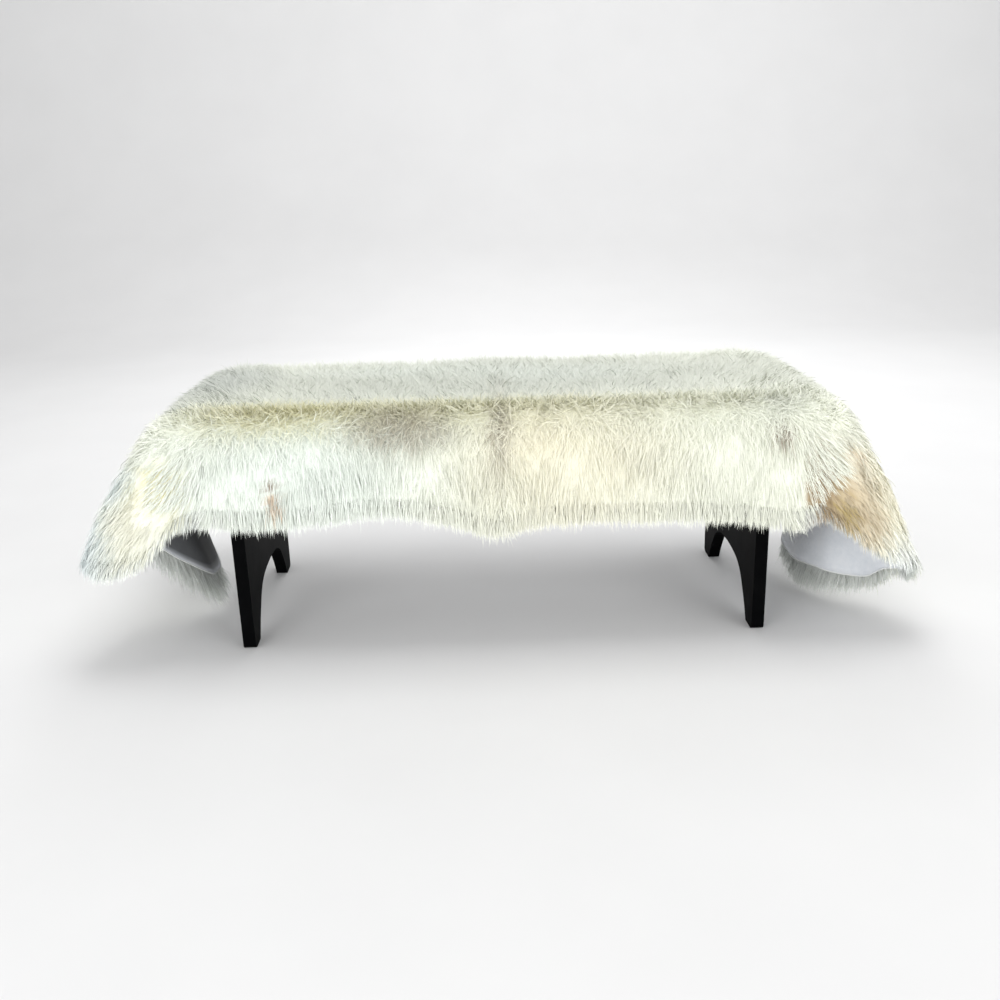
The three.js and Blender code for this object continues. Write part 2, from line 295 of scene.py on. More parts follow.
def long_wool():
    nodes = Nodes("long wool")
    coat = nodes.add("ShaderNodeAttribute", {"attribute_name": "coat"})
    place = nodes.place()
    strand = nodes.noise(place, 500, 2, 0.5)
    colour = nodes.mix(strand * 0.12, coat, (0.72, 0.69, 0.62), blend="MULTIPLY")
    return nodes.surface(
        Base_Color=colour,
        Roughness=0.46 + 0.16 * strand,
        Specular_IOR_Level=0.35,
        Sheen_Weight=0.15,
    )


def cut_leather():
    nodes = Nodes("cut edge of the leather")
    fibre = nodes.noise(nodes.place(), 1200, 3, 0.6)
    colour = nodes.ramp(fibre, [(0.3, (0.80, 0.82, 0.82)), (0.7, (0.92, 0.93, 0.92))])
    return nodes.surface(Base_Color=colour, Roughness=0.7, Normal=nodes.bump(fibre, 0.4, 0.0004))


def seam_thread():
    nodes = Nodes("seam thread")
    place = nodes.place()
    twist = nodes.noise(place, 1500, 2, 0.5, (1, 0.3, 1))
    colour = nodes.ramp(twist, [(0.3, (0.55, 0.5, 0.42)), (0.7, (0.78, 0.74, 0.66))])
    return nodes.surface(Base_Color=colour, Roughness=0.7, Normal=nodes.bump(twist, 0.5, 0.0003))


def studio_floor():
    nodes = Nodes("studio floor")
    place = nodes.place()
    grain = nodes.noise(place, 3, 3, 0.5)
    colour = nodes.ramp(grain, [(0.3, (0.76, 0.76, 0.762)), (0.7, (0.78, 0.78, 0.782))])
    return nodes.surface(Base_Color=colour, Roughness=0.85)


# The drape: how the leather leaves the seat and hangs.
def table_at(folds, at):
    """Each column of the table at the ways along the bend line, never overshooting its rows."""
    rows = np.array(folds, float)
    keys, values = rows[:, 0], rows[:, 1:]
    steps = np.diff(keys)
    slopes = np.diff(values, axis=0) / steps[:, None]
    tangents = np.zeros_like(values)
    product = slopes[:-1] * slopes[1:]
    total = slopes[:-1] + slopes[1:]
    safe = np.where(product > 0, total, 1)
    tangents[1:-1] = np.where(product > 0, 2 * product / safe, 0)
    k = np.clip(np.searchsorted(keys, at, side="right") - 1, 0, len(keys) - 2)
    t = ((at - keys[k]) / steps[k])[:, None]
    span = steps[k][:, None]
    rise = t * t * (3 - 2 * t)
    leave = t * (1 - t) ** 2 * span * tangents[k]
    arrive = t * t * (t - 1) * span * tangents[k + 1]
    return values[k] + (values[k + 1] - values[k]) * rise + leave + arrive


def bend_line(at):
    """Points on the bend line and the way that it faces, in radians."""
    back = at > WHOLE_RUN / 2
    run = np.where(back, WHOLE_RUN - at, at)
    flip = np.where(back, -1.0, 1.0)
    arc = np.clip((run - STRAIGHT) / LINE_RADIUS, 0, math.pi / 2) - math.pi / 2
    x = np.minimum(run, STRAIGHT) + LINE_RADIUS * np.cos(arc)
    beyond = np.maximum(run - STRAIGHT - CORNER_RUN, 0)
    y = -SIDE / 2 + LINE_RADIUS * np.sin(arc) + beyond
    return x, y * flip, arc * flip


def spread(*parts):
    """Ways along the bend line, with a number of steps for each straight and corner."""
    runs = [STRAIGHT, CORNER_RUN, SIDE, CORNER_RUN, STRAIGHT]
    places = [0.0]
    start = 0.0
    for run, count in zip(runs, parts):
        places.extend(start + run * np.arange(1, count + 1) / count)
        start += run
    return np.array(places)


class Pelt:
    """The underside of one pelt as a grid of points: across runs round the bend line and down
    runs from the backbone over the seat to the hem."""

    def __init__(self, folds, sign, ways, seat_steps, bend_steps, fall_steps):
        self.sign = sign
        self.ways = ways
        turn, flare, drop, curl, pile, bend = table_at(folds, ways * 1000).T
        drop, pile, bend = drop / 1000, pile / 1000, bend / 1000
        steep = np.radians(90 - flare)
        base_x, base_y, facing = bend_line(ways)
        heading = facing + np.radians(turn)
        edge_x = np.minimum(base_x, STRAIGHT)
        edge_y = np.clip(base_y, -SIDE / 2, SIDE / 2)
        spine_x = edge_x * BACKBONE_END / STRAIGHT
        points = []
        for step in range(seat_steps):
            t = step / seat_steps
            x = spine_x + (edge_x - spine_x) * t
            y = BACKBONE_Y + (edge_y - BACKBONE_Y) * t
            points.append(np.stack([x, y, np.full_like(x, SEAT_TOP + LIE)], 1))
        for t in (0.0, 0.5):
            x = edge_x + (base_x - edge_x) * t
            y = edge_y + (base_y - edge_y) * t
            points.append(np.stack([x, y, np.full_like(x, SEAT_TOP + LIE + LIFT * t)], 1))
        bent = bend * steep
        lengths = [bent * k / bend_steps for k in range(bend_steps + 1)]
        lengths += [bent + (drop - bent) * k / fall_steps for k in range(1, fall_steps + 1)]
        rate = np.radians(curl) / (drop - bent)
        rate = np.where(np.abs(rate) < 1e-4, 1e-4, rate)
        for length in lengths:
            near = np.minimum(length, bent)
            angle = near / bend
            rest = length - near
            final = steep + rate * rest
            out = bend * np.sin(angle) + (np.sin(final) - np.sin(steep)) / rate
            down = bend * (1 - np.cos(angle)) + (np.cos(steep) - np.cos(final)) / rate
            x = base_x + out * np.cos(heading)
            y = base_y + out * np.sin(heading)
            points.append(np.stack([x, y, SEAT_TOP + LIE + LIFT - down], 1))
        self.points = np.stack(points, 1)
        self.points[..., 0] = np.maximum(self.points[..., 0], 0)
        self.pile = np.repeat(pile[:, None], self.points.shape[1], 1)
        self.seat_rows = seat_steps + 1
        self.find_ways()

    def find_ways(self):
        """The outward normal at each point and the way down towards the hem."""
        p = self.points
        along = np.gradient(p, axis=0)
        down = np.gradient(p, axis=1)
        normal = np.cross(down, along)
        size = np.linalg.norm(normal, axis=2, keepdims=True)
        flat = size[..., 0] < 1e-12
        normal = normal / np.maximum(size, 1e-12)
        normal[flat] = (0, 0, 1)
        flip = np.where(normal[:, :2, 2].mean() < 0, -1, 1)
        normal = normal * flip
        normal[flat] = (0, 0, 1)
        normal[[0, -1], :, 0] = 0
        normal /= np.linalg.norm(normal, axis=2, keepdims=True)
        self.normal = normal
        self.down = down / np.maximum(np.linalg.norm(down, axis=2, keepdims=True), 1e-9)

    def placed(self, points):
        """Points of this pelt in the frame of the whole object."""
        moved = points.copy()
        moved[..., 0] = np.maximum(moved[..., 0], 0) + SEAM_HALF_GAP
        moved[..., 0] *= self.sign
        return moved + BENCH


# Colours of the wool, and the places where the coat changes.
COAT = {
    "cream": (0.88, 0.90, 0.80),
    "cool white": (0.87, 0.93, 0.88),
    "warm cream": (0.93, 0.89, 0.72),
    "seat green grey with painted shade": (0.60, 0.63, 0.56),
    "grey": (0.55, 0.58, 0.54),
    "khaki": (0.58, 0.52, 0.18),
    "pale khaki": (0.60, 0.58, 0.36),
    "grey brown": (0.36, 0.32, 0.24),
    "tan": (0.54, 0.42, 0.25),
    "brown tan crease shade": (0.30, 0.21, 0.11),
    "golden": (0.42, 0.32, 0.09),
    "straw": (0.85, 0.79, 0.42),
    "orange tan": (0.74, 0.50, 0.30),
    "brown": (0.20, 0.12, 0.06),
    "blue white": (0.72, 0.82, 0.90),
    "pure white": (0.92, 0.96, 0.95),
}
PATCHES = [
    # colour, x, y, z, half sizes x, y, z, strength, streaks
    ("cool white", -0.38, -0.26, 0.36, 0.26, 0.14, 0.12, 0.9, 0.1),
    ("warm cream", 0.12, -0.26, 0.38, 0.20, 0.12, 0.12, 0.7, 0.2),
    ("warm cream", 0.06, -0.26, 0.42, 0.07, 0.05, 0.05, 0.6, 0.3),
    # Partly the wool's own green grey and partly painted shade, darker on the seat's top than on
    # the front.
    ("seat green grey with painted shade", 0.0, 0.04, 0.47, 0.66, 0.245, 0.05, 1.0, 0.1),
    ("cool white", -0.22, 0.13, 0.470, 0.22, 0.07, 0.04, 0.45, 0.8),
    ("cool white", 0.12, 0.06, 0.470, 0.18, 0.08, 0.04, 0.45, 0.8),
    ("grey", -0.56, 0.08, 0.465, 0.12, 0.16, 0.05, 1.0, 0.3),
    ("grey", 0.50, -0.22, 0.462, 0.06, 0.03, 0.03, 0.45, 0.4),
    ("grey", -0.578, -0.121, 0.466, 0.04, 0.02, 0.03, 0.6, 0.4),
    ("khaki", -0.42, -0.205, 0.466, 0.15, 0.058, 0.034, 0.58, 0.4),
    ("khaki", -0.19, -0.204, 0.470, 0.23, 0.058, 0.036, 0.50, 0.4),
    ("khaki", 0.08, -0.200, 0.470, 0.14, 0.048, 0.034, 0.26, 0.4),
    ("pale khaki", 0.30, -0.205, 0.469, 0.22, 0.036, 0.030, 0.40, 0.3),
    ("grey brown", -0.165, -0.252, 0.442, 0.075, 0.05, 0.034, 0.95, 0.7),
    ("grey brown", -0.24, -0.254, 0.448, 0.06, 0.05, 0.022, 0.5, 0.9),
    ("grey brown", 0.002, -0.245, 0.430, 0.013, 0.060, 0.060, 0.95, 0.6),
    ("grey brown", 0.002, -0.10, 0.465, 0.012, 0.14, 0.03, 0.4, 0.8),
    ("brown", 0.504, -0.268, 0.413, 0.014, 0.07, 0.013, 1.0, 0.2),
    ("brown", -0.407, -0.270, 0.334, 0.011, 0.06, 0.011, 1.0, 0.2),
    ("orange tan", -0.404, -0.270, 0.318, 0.013, 0.06, 0.010, 0.9, 0.3),
]
# The same for the wool beyond each folded corner, which the front's wool hangs over.
CORNER_PATCHES = [
    ("warm cream", 0.700, -0.270, 0.280, 0.110, 0.12, 0.120, 0.85, 0.2),
    ("tan", 0.608, -0.285, 0.290, 0.075, 0.10, 0.075, 1.0, 0.3),
    ("tan", 0.655, -0.285, 0.240, 0.045, 0.06, 0.035, 0.6, 0.5),
    # Partly the ear's own tan and partly painted shade in the fold's crease.
    ("brown tan crease shade", 0.570, -0.285, 0.300, 0.040, 0.09, 0.080, 0.98, 0.3),
    ("golden", 0.617, -0.290, 0.268, 0.016, 0.06, 0.014, 1.0, 0.1),
    ("orange tan", 0.640, -0.248, 0.368, 0.020, 0.03, 0.012, 0.7, 0.5),
    ("pure white", 0.735, -0.285, 0.164, 0.05, 0.10, 0.06, 0.8, 0.1),
    ("straw", -0.605, -0.270, 0.345, 0.045, 0.07, 0.040, 1.0, 0.1),
    ("pale khaki", -0.560, -0.275, 0.270, 0.022, 0.08, 0.055, 0.6, 0.4),
    ("warm cream", -0.655, -0.28, 0.285, 0.06, 0.10, 0.06, 0.5, 0.3),
    ("blue white", -0.75, -0.25, 0.25, 0.06, 0.10, 0.08, 0.7, 0.2),
    ("blue white", -0.70, -0.23, 0.365, 0.05, 0.08, 0.04, 0.55, 0.2),
    ("grey", -0.70, -0.24, 0.23, 0.07, 0.10, 0.05, 0.4, 0.4),
]


def coat_colour(places, beyond, random, spread_by=0.05):
    """The colour of the wool at places given from the middle of the bench."""
    count = len(places)
    colour = np.tile(np.array(COAT["cream"]), (count, 1))
    shake = random.normal(0, 0.005, (count, 3))
    listed = [(patch, 1) for patch in PATCHES] + [(patch, beyond) for patch in CORNER_PATCHES]
    for (name, x, y, z, half_x, half_y, half_z, strength, streaks), where in listed:
        away = (places + shake - np.array([x, y, z])) / np.array([half_x, half_y, half_z])
        reach = (away**2).sum(1)
        streak = 1 - streaks * random.random(count)
        mask = (strength * np.exp(-(reach**1.5)) * streak * where)[:, None]
        colour = colour * (1 - mask) + np.array(COAT[name]) * mask
    tone = 1 + random.normal(0, spread_by, (count, 1))
    return np.clip(colour * tone, 0.02, 0.97)


def mesh_object(name, bm, material):
    """A smooth piece of the model that rides on the root, with its material."""
    mesh = bpy.data.meshes.new(name)
    bm.to_mesh(mesh)
    bm.free()
    piece = bpy.data.objects.new(name, mesh)
    bpy.context.scene.collection.objects.link(piece)
    mesh.materials.append(material)
    for face in mesh.polygons:
        face.use_smooth = True
    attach(piece, "root")
    return piece


def tree_of(points):
    """A search tree of points, each under its number in their list."""
    tree = kdtree.KDTree(len(points))
    for index, point in enumerate(points):
        tree.insert(point, index)
    tree.balance()
    return tree


def grid_of(points):
    """A sheet of faces through a grid of points, closed at the backbone's pole."""
    across, down = points.shape[:2]
    bm = bmesh.new()
    bmesh.ops.create_grid(bm, x_segments=across - 1, y_segments=down - 1, size=1)
    for vertex in bm.verts:
        i = round((vertex.co.x + 1) / 2 * (across - 1))
        j = round((vertex.co.y + 1) / 2 * (down - 1))
        vertex.co = points[i, j]
    bmesh.ops.remove_doubles(bm, verts=bm.verts, dist=2e-5)
    bmesh.ops.recalc_face_normals(bm, faces=bm.faces)
    upward = sum(face.normal.z * face.calc_area() for face in bm.faces)
    if upward < 0:
        bmesh.ops.reverse_faces(bm, faces=bm.faces)
    return bm


def make_slab(name, pelt, low, high, material):
    """A closed layer on the pelt, between two heights over the leather's underside."""
    inner = pelt.placed(pelt.points + pelt.normal * low[..., None]).reshape(-1, 3)
    outer = pelt.placed(pelt.points + pelt.normal * high[..., None]).reshape(-1, 3)
    bm = grid_of(inner.reshape(pelt.points.shape))
    tree = tree_of(inner)
    bottom = bm.verts[:]
    under = bm.faces[:]
    copied = bmesh.ops.duplicate(bm, geom=bm.faces[:])
    edges = [edge for edge in bm.edges if edge.is_boundary]
    bmesh.ops.reverse_faces(bm, faces=under)
    for vertex in bottom:
        index = tree.find(vertex.co)[1]
        copied["vert_map"][vertex].co = outer[index]
    bmesh.ops.bridge_loops(bm, edges=edges)
    bmesh.ops.recalc_face_normals(bm, faces=bm.faces)
    return mesh_object(name, bm, material)


def make_hide(name, pelt, material):
    """The leather of one pelt, with painted shade inside the left one's end, but for its hem."""
    flat = np.zeros(pelt.points.shape[:2])
    piece = make_slab(name, pelt, flat, flat + LEATHER, material)
    points = pelt.placed(pelt.points)
    tree = tree_of(points.reshape(-1, 3))
    nearest = np.array([tree.find(vertex.co)[1] for vertex in piece.data.vertices])
    ways, rows = np.divmod(nearest, points.shape[1])
    # Painted shade darkens the left pelt's leather inside its end, but for a strip at the hem.
    inside = np.clip((pelt.ways[ways] - 0.600) / 0.02, 0, 1) * (pelt.sign < 0)
    painted_shade = inside * np.clip((0.975 - rows / points.shape[1]) / 0.04, 0, 1)
    tone = 1 - 0.84 * painted_shade[:, None]
    paint(piece, np.repeat(tone, 3, axis=1))
    return piece


def make_wool_body(name, pelt, material, random):
    """The dense wool under the long hairs: a slab that is lumpy above and lies on the leather."""
    p = pelt.points
    wave = np.sin(p[..., 0] * 21 + p[..., 2] * 33) * np.cos(p[..., 1] * 27 - p[..., 2] * 18)
    fine = np.sin(p[..., 0] * 74 + 1.3) * np.sin(p[..., 1] * 81 + p[..., 2] * 66)
    near_seam = np.clip(1 - p[..., 0] / 0.03, 0, 1)
    height = pelt.pile * BODY_SHARE + 0.0022 * wave + 0.0015 * fine - 0.002 * near_seam
    height[:, -1] *= 0.7
    low = np.full(height.shape, LEATHER + BODY_GAP)
    piece = make_slab(name, pelt, low, low + height, material)
    places = np.zeros(len(piece.data.vertices) * 3, np.float32)
    piece.data.vertices.foreach_get("co", places)
    places = places.reshape(-1, 3) - BENCH
    beyond = np.abs(places[:, 0]) > SEAT_HALF_LENGTH
    paint(piece, coat_colour(places, beyond, random, 0.03))
    return piece


def paint(piece, colours):
    """Colours for the points of a piece, which its material reads."""
    layer = piece.data.color_attributes.new("coat", "FLOAT_COLOR", "POINT")
    rgba = np.ones((len(colours), 4), np.float32)
    rgba[:, :3] = colours
    layer.data.foreach_set("color", rgba.ravel())


def unit(vectors):
    return vectors / np.maximum(np.linalg.norm(vectors, axis=-1, keepdims=True), 1e-9)


def sample(grid, across, down):
    """Values of a grid at fractional places in it."""
    i = np.clip(across.astype(int), 0, grid.shape[0] - 2)
    j = np.clip(down.astype(int), 0, grid.shape[1] - 2)
    s, t = across - i, down - j
    if grid.ndim == 3:
        s, t = s[:, None], t[:, None]
    near = grid[i, j] * (1 - s) + grid[i + 1, j] * s
    far = grid[i, j + 1] * (1 - s) + grid[i + 1, j + 1] * s
    return near * (1 - t) + far * t


def pick_roots(pelt, count, random):
    """Places in the grid, as many on each patch as the area of its outer face asks for."""
    p = pelt.points + pelt.normal * pelt.pile[..., None]
    one = np.cross(p[1:, :-1] - p[:-1, :-1], p[:-1, 1:] - p[:-1, :-1])
    two = np.cross(p[1:, 1:] - p[1:, :-1], p[1:, 1:] - p[:-1, 1:])
    area = (np.linalg.norm(one, axis=2) + np.linalg.norm(two, axis=2)) / 2
    share = area.ravel() / area.sum()
    cells = random.choice(len(share), count, p=share)
    across = cells // area.shape[1] + random.random(count)
    down = cells % area.shape[1] + random.random(count)
    return across, down


def hump(at, middle, width):
    """One at the middle, and falling off smoothly on both sides."""
    return np.exp(-(((at - middle) / width) ** 2))


class Hairs:
    """The hairs of one pelt: where each grows, how it is combed, its length and how it bends."""

    def __init__(self, pelt, count, rim_count, random):
        self.pelt = pelt
        self.random = random
        self.total = count + rim_count
        self.on_rim = np.arange(self.total) >= count
        self.plant(count, rim_count)
        self.comb()
        self.cut()
        self.gather_locks()

    def vary(self, spread, middle=0):
        """A value for each hair, normally distributed about the middle."""
        return self.random.normal(middle, spread, self.total)

    def plant(self, count, rim_count):
        """Roots all over the pelt and along its rim, and where the wool changes its lie."""
        pelt = self.pelt
        across, down = pick_roots(pelt, count, self.random)
        rim_across = self.random.random(rim_count) * (pelt.points.shape[0] - 1)
        across = np.concatenate([across, rim_across])
        down = np.concatenate([down, np.full(rim_count, pelt.points.shape[1] - 1.001)])
        self.point = sample(pelt.points, across, down)
        self.normal = unit(sample(pelt.normal, across, down))
        self.way = unit(sample(pelt.down, across, down))
        self.pile = sample(pelt.pile, across, down)
        run = np.interp(across, np.arange(len(pelt.ways)), pelt.ways)
        hanging_rows = pelt.points.shape[1] - pelt.seat_rows
        self.fallen = np.clip((down - pelt.seat_rows) / hanging_rows, 0, 1)

        # The wool stands on the seat, and along the ridge at its front edge.
        height = self.point[:, 2]
        on_seat = np.clip((height - (SEAT_TOP - 0.012)) / 0.012, 0, 1)
        self.upright = np.clip(1 - self.fallen * 2.2, 0, 1) * np.clip(1.3 - 0.3 * on_seat, 0, 1)
        self.ridge = hump(self.point[:, 1], RIDGE_Y, RIDGE_WIDTH) * (height > SEAT_TOP - 0.03)

        # At each front corner the pelt folds, and the front's wool stands out over the corner's.
        fold = FOLD_AT_SEAT - (FOLD_AT_SEAT - FOLD_AT_HEM) * self.fallen**FOLD_CURVE
        low = np.clip(self.fallen * 3 - 0.6, 0, 1)
        self.beyond = run > fold
        self.before_fold = hump(run, fold, 0.010) * ~self.beyond * low
        self.after_fold = hump(run, fold, 0.005) * self.beyond * low
        self.corner = hump(run, CORNER_AT, CORNER_WIDTH) * self.beyond
        self.lobe = hump(run, LOBE_AT, LOBE_WIDTH)

    def comb(self):
        """Down each fall, with swirls, and to both sides at the seam."""
        x, y, z = self.point.T
        swirl = 0.5 * np.sin(x * 23 + y * 19 + 2.1 * np.sin(y * 11 - x * 8))
        swirl += 0.4 * np.sin(y * 37 - x * 31 + z * 25 + 1.8 * np.sin(x * 17 + 1))
        swirl *= 0.25 + 0.75 * self.upright
        swirl += self.vary(0.19) + (0.8 * self.upright + 0.9 * self.ridge) * self.vary(1)
        swirl += 0.45 * self.before_fold + 0.55 * self.after_fold
        swirl += 0.30 * self.corner * self.vary(1)
        side = unit(np.cross(self.normal, self.way))
        way = unit(self.way * np.cos(swirl)[:, None] + side * np.sin(swirl)[:, None])
        at_seam = np.clip(1 - x / 0.04, 0, 1)
        across_seam = 0.6 * at_seam * self.vary(1)
        way = unit(way + np.array([1.0, 0, 0]) * across_seam[:, None])
        self.way = unit(way - self.normal * (way * self.normal).sum(1)[:, None])

    def cut(self):
        """How long each hair is, where it leaves the wool body, and how it rises and droops."""
        rim, corner = self.on_rim, self.corner
        length = self.vary(HAIR_VARIES, HAIR_LENGTH) * (0.70 + 0.30 * self.pile / FULL_PILE)
        length *= (1 - 0.36 * self.upright) * (1 - 0.45 * self.after_fold) * (1 - 0.10 * corner)
        longer = LOBE_FRINGE["left" if self.pelt.sign < 0 else "right"]
        rim_length = RIM_LENGTH - 0.013 * corner + longer * self.lobe
        length = np.where(rim, self.vary(0.13, 1) * rim_length, length)
        length *= 1 - 0.12 * np.clip((self.fallen - 0.8) / 0.2, 0, 1)
        self.length = length

        depth = 0.28 + 0.20 * self.random.random(self.total)
        start = self.pile * depth * (1 - 0.4 * self.after_fold)
        rim_depth = 0.03 + 0.52 * self.random.random(self.total)
        self.start = np.where(rim, self.pile * rim_depth, start)

        rise = 32 + 26 * self.upright + 10 * self.ridge + 7 * corner
        rise = np.radians(rise + self.vary(10))
        self.rise = np.where(rim, np.radians(5 + 18 * corner + self.vary(11)), rise)
        self.fall = np.radians(-12 + 44 * self.upright + self.vary(9))
        self.droop = np.where(rim, 1.2 + 3.4 * corner, 0.6 + 1.6 * corner * self.fallen)

    def gather_locks(self):
        """Neighbours lean together into fine locks, each towards one hair at its head."""
        self.root = self.point + self.normal * (LEATHER + self.start)[:, None]
        heads = self.random.choice(self.total, self.total // LOCK_SIZE, replace=False)
        tree = tree_of(self.root[heads])
        head = heads[[tree.find(place)[1] for place in self.root]]
        pull = self.root[head] - self.root
        pull -= self.normal * (pull * self.normal).sum(1)[:, None]
        far = np.linalg.norm(pull, axis=1, keepdims=True)
        self.pull = pull * np.minimum(1, LONGEST_PULL / np.maximum(far, 1e-6))
        self.way = unit(self.way * 0.7 + self.way[head] * 0.3)
        self.length = self.length * (0.90 + 0.20 * self.random.random(self.total)[head])
        self.hold = 0.08 + 0.34 * self.random.random(self.total)[head]

    def bend(self):
        """Each hair as a flat tapering blade: its middle and half its width at each station."""
        thick = self.vary(HALF_WIDTH_VARIES, HAIR_HALF_WIDTH)
        thick = thick * (1 + 0.35 * self.corner * ~self.on_rim)
        spin = self.vary(0.5)
        gravity = np.array([0.0, 0.0, -1.0])
        rows = []
        middle = self.root.copy()
        before = 0.0
        for station, width in STATIONS:
            mid = (before + station) / 2
            tilt = self.rise + (self.fall - self.rise) * mid
            step = self.way * np.cos(tilt)[:, None] + self.normal * np.sin(tilt)[:, None]
            step = unit(step + gravity * (0.35 * mid * self.droop)[:, None])
            middle = middle + step * (self.length * (station - before))[:, None]
            middle[:, 2] = np.maximum(middle[:, 2], OFF_FLOOR)
            before = station
            spot = middle + self.pull * (self.hold * station**1.4)[:, None]
            across_way = unit(np.cross(step, self.normal))
            up_way = unit(np.cross(across_way, step))
            edge = across_way * np.cos(spin)[:, None] + up_way * np.sin(spin)[:, None]
            rows.append((spot, edge * (thick * width)[:, None]))
        return rows

    def shade(self):
        """Painted shade and light on each hair at its stations: painted shade at the roots, more
        at the rim's roots and in the fold, and painted light on the lobes' fringe and along the
        ridge.
        """
        # Painted shade at each hair's root, lighter towards its tip.
        shade = np.tile([0.95, 0.98, 1.0, 1.02], (self.total, 1))
        # Painted shade at the rim's roots.
        shade[self.on_rim] = [0.86, 0.96, 1.02, 1.05]
        # Painted light on the lobes' fringe, which hangs in shade.
        shade[self.on_rim & self.beyond] = [0.92, 1.06, 1.12, 1.12]
        # Painted shadow just beyond the fold and painted light along the ridge.
        return shade * (1 - 0.34 * self.after_fold + 0.08 * self.ridge)[:, None]

    def colours(self):
        """The coat's colours, but the lobes' fringe is whitened as painted light, with grey
        streaks.
        """
        tips = self.point + self.normal * (self.pile * 0.9)[:, None]
        places = tips * np.array([self.pelt.sign, 1, 1])
        colours = coat_colour(places, self.beyond, self.random)
        streak = np.where(self.random.random(self.total) < 0.25, 0.78, 1.0)[:, None]
        # Painted light: the lobes' fringe is mixed towards pure white.
        fringe = (colours * 0.3 + np.array(COAT["pure white"]) * 0.7) * streak
        return np.where((self.on_rim & self.beyond)[:, None], fringe, colours)

    def coat_normals(self):
        """The way the coat faces at each hair. The lobes' fringe faces up and to the front."""
        fringe = (self.on_rim & self.beyond)[:, None]
        return unit(self.normal + np.array([0.0, -0.5, 0.7]) * fringe)


def blades(name, rows, colours, normals, shade, material, pelt):
    """One mesh of many blades, from the rows of their points, lit softly like the coat."""
    count = len(rows[0][0])
    parts = []
    for spot, edge in rows[:-1]:
        parts.append(pelt_side(spot - edge, pelt))
        parts.append(pelt_side(spot + edge, pelt))
    parts.append(pelt_side(rows[-1][0], pelt))
    verts = np.stack(parts, 1).reshape(-1, 3)
    per = len(parts)
    base = (np.arange(count) * per)[:, None]
    last = per - 3
    quads = [base + np.array([[a, a + 1, a + 3, a + 2]]) for a in range(0, last, 2)]
    quads = np.concatenate(quads, 0)
    tips = base + np.array([[last, last + 1, last + 2]])
    if pelt.sign < 0:
        quads, tips = quads[:, ::-1], tips[:, ::-1]
    loops = np.concatenate([quads.ravel(), tips.ravel()]).astype(np.int32)
    sizes = np.concatenate([np.full(len(quads), 4), np.full(len(tips), 3)])
    starts = np.concatenate([[0], np.cumsum(sizes)[:-1]]).astype(np.int32)
    mesh = bpy.data.meshes.new(name)
    mesh.vertices.add(len(verts))
    mesh.vertices.foreach_set("co", verts.astype(np.float32).ravel())
    mesh.loops.add(len(loops))
    mesh.loops.foreach_set("vertex_index", loops)
    mesh.polygons.add(len(sizes))
    mesh.polygons.foreach_set("loop_start", starts)
    mesh.polygons.foreach_set("use_smooth", np.ones(len(sizes), bool))
    mesh.update(calc_edges=True)
    mesh.normals_split_custom_set_from_vertices(soft_normals(verts, normals, per, pelt))
    mesh.materials.append(material)
    piece = bpy.data.objects.new(name, mesh)
    bpy.context.scene.collection.objects.link(piece)
    # Each hair's painted shade and light multiply its colours.
    painted_shade_and_light = np.repeat(shade, 2, axis=1)[:, :per]
    paint(piece, (colours[:, None, :] * painted_shade_and_light[:, :, None]).reshape(-1, 3))
    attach(piece, "root")
    return piece


def soft_normals(verts, normals, per, pelt):
    """A normal for each point of the blades, between the blade's own and the coat's."""
    coat = normals * np.array([pelt.sign, 1.0, 1.0])
    points = verts.reshape(-1, per, 3)
    own = unit(np.cross(points[:, 1] - points[:, 0], points[:, -1] - points[:, 0]))
    own *= np.where((own * coat).sum(1, keepdims=True) < 0, -1.0, 1.0)
    return np.repeat(unit(own * 0.35 + coat * 0.65), per, axis=0)


def pelt_side(points, pelt):
    """Points of the blades in the frame of the whole object, which may cross the seam."""
    moved = points.copy()
    moved[:, 0] = (moved[:, 0] + SEAM_HALF_GAP) * pelt.sign
    return moved + BENCH


def make_wool(side, pelt, material, count, rim_count, random):
    """All hairs of one pelt, as one mesh for each zone."""
    hairs = Hairs(pelt, count, rim_count, random)
    rows = hairs.bend()
    colours, normals, shade = hairs.colours(), hairs.coat_normals(), hairs.shade()
    x, y, z = hairs.point.T
    seat = (z > SEAT_TOP - 0.004) & ~hairs.on_rim
    zones = {
        "seat_front": seat & (y < -0.02),
        "seat_back": seat,
        "front": (y < -0.20) & (x < 0.50),
        "end_front": y < 0.0,
        "end_back": np.ones(hairs.total, bool),
    }
    taken = np.zeros(hairs.total, bool)
    pieces = []
    for zone, chosen in zones.items():
        chosen = chosen & ~taken
        taken |= chosen
        some = [(spot[chosen], edge[chosen]) for spot, edge in rows]
        looks = colours[chosen], normals[chosen], shade[chosen]
        pieces.append(blades(f"wool_{zone}_{side}", some, *looks, material, pelt))
    return pieces


def make_cut_edge(name, pelt, material):
    """The pale cut edge of the leather, as a thin bead along the hem."""
    hem = pelt.points[:, -1] + pelt.normal[:, -1] * LEATHER / 2
    out = pelt.down[:, -1]
    ring = []
    for k in range(BEAD_SIDES + 1):
        angle = 2 * math.pi * k / BEAD_SIDES
        away = out * math.cos(angle) + pelt.normal[:, -1] * math.sin(angle)
        ring.append(hem + away * BEAD_RADIUS)
    return mesh_object(name, grid_of(pelt.placed(np.stack(ring, 1))), material)


def along(place, lengths, values):
    """The vector at a place along a line, between those given at its points."""
    return Vector([np.interp(place, lengths, values[:, axis]) for axis in range(3)])


